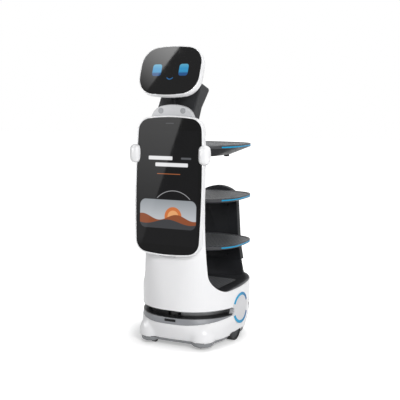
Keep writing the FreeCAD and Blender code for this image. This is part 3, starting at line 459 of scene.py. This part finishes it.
def display_pane():
    """The display: a lit picture of a sun over soft hills with plain bars above it."""
    made, tree, shader = pane("black_display_glass", 0.1)
    across, up = glass_coordinates(tree, DISPLAY_CENTRE, DISPLAY_LEAN)
    glow = colour("#000000")
    # screen area, a shade lighter than the printed border
    screen = soft_box(tree, across, up, 0.0, -8.0, 152.0, 262.0, 6.0)
    glow = mixed(tree, screen, glow, colour("#060607"))
    # pale card with its sun and hills
    card = soft_box(tree, across, up, 0.0, -128.0, 146.0, 66.0, 30.0)
    sky = mixed(tree, remapped(tree, up, -190.0, -62.0, 0.0, 1.0), colour("#C9CCD0"),
                colour("#8F9499"))
    sun = ring_mask(tree, across, up, 28.0, -138.0, 0.0, 44.0)
    sky = mixed(tree, sun, sky, colour("#C9713C"))
    core = ring_mask(tree, across, up, 28.0, -138.0, 0.0, 28.0)
    sky = mixed(tree, core, sky, colour("#E2A26B"))
    wave = maths(tree, "SINE", maths(tree, "MULTIPLY", across, 0.035))
    wave = maths(tree, "MULTIPLY", wave, 13.0)
    ridge = maths(tree, "SUBTRACT", up, wave)
    far_hill = remapped(tree, ridge, -143.0, -141.0, 1.0, 0.0)
    sky = mixed(tree, far_hill, sky, colour("#8A4A2A"))
    wave = maths(tree, "COSINE", maths(tree, "MULTIPLY", across, 0.027))
    wave = maths(tree, "MULTIPLY", wave, 11.0)
    ridge = maths(tree, "SUBTRACT", up, wave)
    near_hill = remapped(tree, ridge, -164.0, -162.0, 1.0, 0.0)
    sky = mixed(tree, near_hill, sky, colour("#3B3C3F"))
    glow = mixed(tree, card, glow, sky)
    # plain bars, as on a menu page
    for x, y, half_width, half_height, paint in (
        (-44.0, 128.0, 62.0, 8.5, "#E6E6E8"),
        (14.0, 98.0, 84.0, 8.5, "#E6E6E8"),
        (88.0, 128.0, 26.0, 4.5, "#55575B"),
        (0.0, 56.0, 60.0, 1.4, "#B5673A"),
    ):
        bar = soft_box(tree, across, up, x, y, half_width, half_height, min(half_height, 4.0))
        glow = mixed(tree, bar, glow, colour(paint))
    # a thin arc over the card
    arc = ring_mask(tree, across, up, 28.0, -138.0, 118.0, 1.3)
    above = remapped(tree, up, -58.0, -54.0, 0.0, 1.0)
    arc = maths(tree, "MULTIPLY", arc, above)
    glow = mixed(tree, arc, glow, colour("#A9A9AC"))
    # speaker slit at the top
    slit = soft_box(tree, across, up, 0.0, 286.0, 21.0, 2.6, 2.4)
    glow = mixed(tree, slit, glow, colour("#3C3D40"))
    glow = mixed(tree, maths(tree, "SUBTRACT", 1.0, maths(tree, "MAXIMUM", screen, slit)), glow,
                 colour("#000000"))
    tree.links.new(glow, shader.inputs["Emission Color"])
    return made


face_glass = face_pane()
display_glass = display_pane()
# Black print under hardened glass: the console's dark, blank screen.
console_glass = pane("black_console_glass")[0]
console_shader = console_glass.node_tree.nodes["Principled BSDF"]
console_shader.inputs["Emission Color"].default_value = colour("#000000")
# Frosted acrylic: the collar's milky cover over its sensors.
frosted_acrylic = moulded("frosted_acrylic", "#BDBEC0", "#B5B6B9", 0.34, 0.05, 5.0, 0.03, coat=0.1)
sensor_acrylic = moulded("tinted_sensor_acrylic", "#87898C", "#7E8083", 0.26, 0.04, 12.0, 0.01,
                         coat=0.1)


# The robot's pieces.
def plain_piece(name, cad_name, body, finish, width_mm, segments=3, degrees=30):
    """A CAD node with its edges rounded."""
    obj = copy_of(name, cad_name)
    rounded(obj, width_mm, segments, degrees)
    smooth(obj)
    return place(obj, body, finish, (cad_name,))


def make_body_shell():
    """White shell: base ring and front column as one moulding."""
    obj = copy_of("body_shell", "base_shell")
    other = copy_of("column_part", "front_column_shell")
    only(obj)
    union = obj.modifiers.new("union", "BOOLEAN")
    union.operation = "UNION"
    union.solver = "EXACT"
    union.object = other
    bpy.ops.object.modifier_apply(modifier=union.name)
    only(other)
    bpy.ops.object.delete()
    only(obj)
    bpy.ops.object.mode_set(mode="EDIT")
    bpy.ops.mesh.select_all(action="SELECT")
    bpy.ops.mesh.remove_doubles(threshold=0.02 * MM)
    bpy.ops.mesh.dissolve_limited(angle_limit=math.radians(0.5))
    bpy.ops.object.mode_set(mode="OBJECT")
    rounded(obj, 2.0, 3, 40)
    smooth(obj)
    modify(obj, "WEIGHTED_NORMAL", weight=60, keep_sharp=True)
    place(obj, "chassis", white_abs, ("base_shell", "front_column_shell"))


def softened(name, cad_name, voxel_mm, test, rounds):
    """A copy remeshed finely and smoothed where a test says, as one flowing form."""
    obj = copy_of(name, cad_name)
    modify(obj, "REMESH", mode="VOXEL", voxel_size=voxel_mm * MM)
    group = obj.vertex_groups.new(name="soft")
    chosen = [v.index for v in obj.data.vertices if test(v.co, v.normal)]
    group.add(chosen, 1.0, "REPLACE")
    modify(obj, "SMOOTH", factor=0.5, iterations=rounds, vertex_group="soft")
    return obj


def make_bumper():
    """White bumper with its two round front feet."""
    def near_foot(co, normal):
        reach = math.hypot(abs(co.x) - FOOT_CENTRE[0], co.y - FOOT_CENTRE[1])
        return 0.042 < co.z < 0.14 and co.y < -0.05 and reach > 0.02 and \
            normal.x * co.x + normal.y * (co.y - 0.015) > 0
    obj = softened("bumper", "bumper_shell", 2.6, near_foot, 180)
    smooth(obj, 50)
    place(obj, "chassis", white_abs, ("bumper_shell",))


def make_skirt():
    """Grey skirt, its rings round the front casters flowing into the band."""
    obj = softened("skirt", "base_skirt", 2.2, lambda co, normal: co.y < -0.06, 110)
    smooth(obj, 60)
    place(obj, "chassis", skirt_abs, ("base_skirt",))


def make_head_shell():
    """White head shell, domed behind the glass."""
    lean = math.radians(FACE_LEAN)
    back = Vector((0.0, math.cos(lean), -math.sin(lean)))

    def domed(co, normal):
        depth = (co - Vector(FACE_CENTRE)).dot(back)
        return depth > 0.009 and co.z > 1.185
    obj = softened("head_case", "head_shell", 2.0, domed, 40)
    low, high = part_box("head_post")
    pick(obj, "FACE", lambda co, normal: co.z < high.z + 20 * MM and abs(co.x) < 22 * MM
         and co.y > low.y - 2 * MM)
    bpy.ops.mesh.separate(type="SELECTED")
    out_of_edit()
    ears = [o for o in bpy.context.selected_objects if o is not obj][0]
    ears.name = "knuckle_ears"
    smooth(ears, 50)
    place(ears, "head", charcoal_abs)
    smooth(obj, 50)
    place(obj, "head", white_abs, ("head_shell",))


def make_neck():
    """Dark neck, its corners flowing into each other."""
    obj = softened("neck", "neck_console", 2.4, lambda co, normal: co.z > 1.05, 24)
    smooth(obj, 50)
    place(obj, "chassis", neck_abs, ("neck_console",))


def make_tyres():
    """Drive tyres with cross grooves in their tread."""
    for side in ("left", "right"):
        cad_name = "drive_tyre_" + side
        low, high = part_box(cad_name)
        centre = (low + high) / 2
        bpy.ops.object.select_all(action="DESELECT")
        bpy.ops.mesh.primitive_cylinder_add(
            vertices=64, radius=(high.z - low.z) / 2 - 0.2 * MM, depth=high.x - low.x - 0.4 * MM,
            end_fill_type="NOTHING", location=centre, rotation=(0, math.pi / 2, 0))
        obj = bpy.context.active_object
        obj.name = "tyre_" + side
        bpy.ops.object.transform_apply(location=True, rotation=True, scale=True)
        step = math.tau / 32

        def block(co, normal):
            return math.atan2(co.z - centre.z, co.y - centre.y) % step < step / 2
        pick(obj, "FACE", block)
        bpy.ops.mesh.inset(thickness=1.2 * MM, depth=-1.6 * MM, use_individual=True)
        out_of_edit()
        modify(obj, "SOLIDIFY", thickness=8.6 * MM, offset=-1.0)
        rounded(obj, 1.0, 2, 60)
        smooth(obj, 40)
        place(obj, "drive_wheel_" + side, tyre_rubber, (cad_name,))


def make_pods():
    """Soft-cornered pods on both edges of the display, each with a fine seam round it."""
    low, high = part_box("side_pods")
    middle_y = (low.y + high.y) / 2
    middle_z = (low.z + high.z) / 2
    half = Vector((29.0, 28.0, 46.0)) * MM
    where = (high.x - half.x - 0.3 * MM, middle_y, middle_z)
    bpy.ops.object.select_all(action="DESELECT")
    bpy.ops.mesh.primitive_cube_add(size=2.0, location=where, scale=half)
    obj = bpy.context.active_object
    obj.name = "pod_left"
    bpy.ops.object.transform_apply(location=True, rotation=True, scale=True)
    rounded(obj, 27.0, 12, 30)
    modify(obj, "SUBSURF", levels=1)
    modify(obj, "SMOOTH", factor=0.5, iterations=110)
    seam = where[0] - 9.0 * MM
    only(obj)
    bpy.ops.object.mode_set(mode="EDIT")
    bpy.ops.mesh.select_all(action="SELECT")
    bpy.ops.mesh.bisect(plane_co=(seam, 0, 0), plane_no=(1, 0, 0))
    bpy.ops.mesh.select_mode(type="EDGE")
    bpy.ops.mesh.bevel(offset=0.7 * MM, segments=2, affect="EDGES")
    bpy.ops.mesh.select_mode(type="VERT")
    bpy.ops.object.mode_set(mode="OBJECT")
    pick(obj, "VERT", lambda co, normal: abs(co.x - seam) < 0.2 * MM)
    bpy.ops.transform.shrink_fatten(value=-1.2 * MM)
    out_of_edit()
    smooth(obj, 50)
    twin = mirror_copy(obj, "pod_right")
    place(obj, "chassis", white_abs, ("side_pods",))
    place(twin, "chassis", white_abs)


def make_slit_cover():
    """Dark soft-edged cover over the sensor slit in the front lip."""
    low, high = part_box("front_sensor_window")
    middle = (low + high) / 2
    bpy.ops.object.select_all(action="DESELECT")
    bpy.ops.mesh.primitive_cube_add(size=1.0, location=(0, low.y - 2.4 * MM, middle.z),
                                    scale=(58 * MM, 5.0 * MM, 12 * MM))
    obj = bpy.context.active_object
    obj.name = "slit_cover"
    bpy.ops.object.transform_apply(location=True, rotation=True, scale=True)
    rounded(obj, 2.4, 4, 40)
    smooth(obj)
    place(obj, "chassis", bay_abs)


def make_slot_ends():
    """Pale linings round the ends of the front and rear scanner slots."""
    for name, y, turn in (("front", -0.083, 1.0), ("rear", 0.113, -1.0)):
        wall = max(v.co.x for v in nodes["base_shell"].data.vertices
                   if abs(v.co.y - y - turn * 18 * MM) < 8 * MM and abs(v.co.z - SLOT_Z) < 22 * MM)
        bpy.ops.object.select_all(action="DESELECT")
        bpy.ops.mesh.primitive_cylinder_add(
            vertices=48, radius=18.6 * MM, depth=26.0 * MM, end_fill_type="NOTHING",
            location=(wall - 12.6 * MM, y, SLOT_Z), rotation=(0, math.pi / 2, 0))
        obj = bpy.context.active_object
        obj.name = "slot_end_" + name + "_left"
        bpy.ops.object.transform_apply(location=True, rotation=True, scale=True)
        pick(obj, "FACE", lambda co, normal: (co.y - y) * turn < 0)
        bpy.ops.mesh.delete(type="FACE")
        out_of_edit()
        modify(obj, "SOLIDIFY", thickness=3.6 * MM, offset=-1.0)
        rounded(obj, 0.8, 2, 40)
        smooth(obj, 40)
        twin = mirror_copy(obj, "slot_end_" + name + "_right")
        place(obj, "chassis", satin_white_abs)
        place(twin, "chassis", satin_white_abs)


def make_bezel_latch():
    """Thin grey latch strip under the middle of the display bezel."""
    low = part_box("display_bezel")[0]
    bpy.ops.object.select_all(action="DESELECT")
    bpy.ops.mesh.primitive_cube_add(size=1.0, location=(0, low.y + 15 * MM, low.z + 0.6 * MM),
                                    scale=(80 * MM, 22 * MM, 3.4 * MM))
    obj = bpy.context.active_object
    obj.name = "bezel_latch"
    bpy.ops.object.transform_apply(location=True, rotation=True, scale=True)
    rounded(obj, 1.2, 3, 40)
    smooth(obj)
    place(obj, "chassis", grey_abs)


def make_camera_housings():
    """Black camera housings under the top tray's arm, a little deeper than their bases."""
    obj = copy_of("camera_housings", "tray_cameras")
    pick(obj, "FACE", lambda co, normal: normal.z < -0.5)
    bpy.ops.transform.translate(value=(0, 0, -6 * MM))
    out_of_edit()
    rounded(obj, 1.2, 3, 40)
    smooth(obj)
    place(obj, "chassis", bay_abs, ("tray_cameras",))


make_body_shell()
make_bumper()
make_skirt()
make_head_shell()
make_neck()
make_tyres()
make_pods()
make_slot_ends()
make_slit_cover()
make_bezel_latch()
make_camera_housings()
plain_piece("lip_trims", "scanner_lips", "chassis", grey_abs, 1.5)
plain_piece("disc_covers", "side_discs", "chassis", satin_white_abs, 0.8)
plain_piece("ring_guides", "ring_lights", "chassis", ring_led, 0.4, 2)
plain_piece("bezel", "display_bezel", "chassis", white_abs, 2.4, 4, 50)
plain_piece("column_back", "rear_column", "chassis", charcoal_abs, 2.5, 4)
plain_piece("column_foot", "rear_column_foot", "chassis", charcoal_abs, 2.0, 3, 40)
plain_piece("collar_cover", "collar", "chassis", frosted_acrylic, 14.0, 6, 50)
for tray in ("top", "middle", "lower"):
    plain_piece("tray_" + tray + "_moulding", "tray_" + tray, "chassis", tray_abs,
                2.0, 3, 50)
plain_piece("tray_arm", "top_tray_arm", "chassis", arm_abs, 2.0, 3, 40)
plain_piece("deck", "tray_deck", "chassis", deck_abs, 1.0, 2, 40)

# CAD nodes whose shape is right keep it and take their material.
FINISHES = {
    "display_glass": display_glass, "face_glass": face_glass,
    "operator_display": console_glass, "scanner_bays": bay_wall, "scanners": smoked_pc,
    "battery_pack": bay_abs, "chassis_plate": galvanised, "caster_seats": zinc_steel,
    "drive_axles": zinc_steel,
    "drive_hub_left": cast_aluminium, "drive_hub_right": cast_aluminium,
    "front_column_liner": charcoal_abs, "front_sensor_window": bay_abs,
    "collar_sensors": sensor_acrylic, "tray_lights": tray_led, "tray_mats": dotted_mat,
    "head_post": charcoal_abs,
}
for cad_name, obj in nodes.items():
    finish = FINISHES.get(cad_name)
    if cad_name.startswith("caster_fork"):
        finish = zinc_steel
    if cad_name.startswith("caster_wheel"):
        finish = caster_pu
    if finish:
        for slot in obj.material_slots:
            slot.material = finish


# Studio.
def make_stage():
    """Plain white floor that keeps the shadow, under a white surround."""
    bpy.ops.object.select_all(action="DESELECT")
    bpy.ops.mesh.primitive_plane_add(size=40.0)
    floor = bpy.context.active_object
    floor.name = "studio_floor"
    made, tree, shader = material("matt_white_floor", Base_Color=colour("#F4F4F4"), Roughness=1.0,
                                  Specular_IOR_Level=0.0, Emission_Color=(1, 1, 1, 1))
    rays = node(tree, "ShaderNodeLightPath")
    seen = maths(tree, "MAXIMUM", rays.outputs["Is Camera Ray"], rays.outputs["Is Glossy Ray"])
    parts = node(tree, "ShaderNodeSeparateXYZ", None, {0: place_of(tree)}).outputs
    reach = maths(tree, "SQRT", maths(tree, "ADD", maths(tree, "MULTIPLY", parts["X"], parts["X"]),
                                      maths(tree, "MULTIPLY", parts["Y"], parts["Y"])))
    # the surround's white fades in away from the robot, so its shadow stays
    far = remapped(tree, reach, 0.27, 0.56, 0.36, 1.0)
    tree.links.new(maths(tree, "MULTIPLY", seen, far), shader.inputs["Emission Strength"])
    floor.data.materials.append(made)
    world = bpy.data.worlds.new("studio")
    scene.world = world
    world.use_nodes = True
    tree = world.node_tree
    rays = node(tree, "ShaderNodeLightPath")
    seen = maths(tree, "MAXIMUM", rays.outputs["Is Camera Ray"], rays.outputs["Is Glossy Ray"])
    strength = remapped(tree, seen, 0.0, 1.0, 0.32, 1.0)
    background = tree.nodes["Background"]
    background.inputs["Color"].default_value = (1, 1, 1, 1)
    tree.links.new(strength, background.inputs["Strength"])


def softbox(name, where, target, width, height, power):
    data = bpy.data.lights.new(name, "AREA")
    data.shape = "RECTANGLE"
    data.size = width
    data.size_y = height
    data.energy = power
    lamp = bpy.data.objects.new(name, data)
    scene.collection.objects.link(lamp)
    lamp.location = where
    lamp.rotation_mode = "QUATERNION"
    lamp.rotation_quaternion = (Vector(where) - Vector(target)).to_track_quat("Z", "Y")


def make_camera():
    data = bpy.data.cameras.new("photo_camera")
    data.lens = CAMERA_LENS
    data.sensor_width = 36.0
    camera = bpy.data.objects.new("photo_camera", data)
    scene.collection.objects.link(camera)
    scene.camera = camera
    camera.location = CAMERA_PLACE
    aim = Vector(CAMERA_AIM)
    camera.rotation_mode = "QUATERNION"
    camera.rotation_quaternion = (camera.location - aim).to_track_quat("Z", "Y")


def reflector_card(name, normal, corners, distance, reach, low, high, half_length):
    """Studio card standing where a pane mirrors it, its edge on the line between two points."""
    eye = scene.camera.location
    spots = []
    for corner in corners:
        corner = Vector(corner)
        spots.append(corner + (corner - eye).normalized().reflect(normal) * distance)
    along = (spots[0] - spots[1]).normalized()
    facing = (Vector(corners[0]) - spots[0]).normalized()
    side = along.cross(facing).normalized()
    if side.x > 0:
        side.negate()
    facing = side.cross(along)
    length = 2.4
    bpy.ops.object.select_all(action="DESELECT")
    bpy.ops.mesh.primitive_plane_add(size=1.0)
    card = bpy.context.active_object
    card.name = name
    card.scale = (reach, length, 1.0)
    bpy.ops.object.transform_apply(location=False, rotation=False, scale=True)
    middle = (spots[0] + spots[1]) / 2 + side * reach / 2
    turn = Matrix((-side, along, -side.cross(along))).transposed()
    card.matrix_world = Matrix.Translation(middle) @ turn.to_4x4()
    card.visible_camera = False
    card.visible_diffuse = False
    card.visible_shadow = False
    made, tree, shader = material(name + "_paper", Base_Color=(0, 0, 0, 1),
                                  Emission_Color=(1, 1, 1, 1))
    y = node(tree, "ShaderNodeSeparateXYZ", None, {0: place_of(tree)}).outputs["Y"]
    glow = maths(tree, "MAXIMUM", remapped(tree, y, -0.45, 0.45, low, high), 0.0)
    # dark past the pane, so a tilted face does not turn pale
    fade = remapped(tree, maths(tree, "ABSOLUTE", y), half_length, half_length + 0.12, 1.0, 0.0)
    tree.links.new(maths(tree, "MULTIPLY", glow, fade), shader.inputs["Emission Strength"])
    card.data.materials.append(made)


scene.view_settings.view_transform = "Standard"
make_stage()
softbox("key_softbox", (2.9, -3.1, 2.3), ROOM_MIDDLE, 1.3, 1.3, 114)
softbox("top_softbox", (0.6, 0.8, 3.6), ROOM_MIDDLE, 1.6, 1.6, 30)
make_camera()
lean = math.radians(DISPLAY_LEAN)
reflector_card("display_card", Vector((0, -math.cos(lean), math.sin(lean))),
               ((0.060, -0.262, 1.07), (-0.080, -0.286, 0.66)), 2.5, 2.2, 2.6, 8.4, 0.6)
lean = math.radians(FACE_LEAN)
reflector_card("face_card", Vector((0, -math.cos(lean), math.sin(lean))),
               ((0.021, -0.22, 1.386), (-0.064, -0.266, 1.257)), 2.5, 1.6, -6.0, 30.0, 0.24)

bpy.context.view_layer.update()
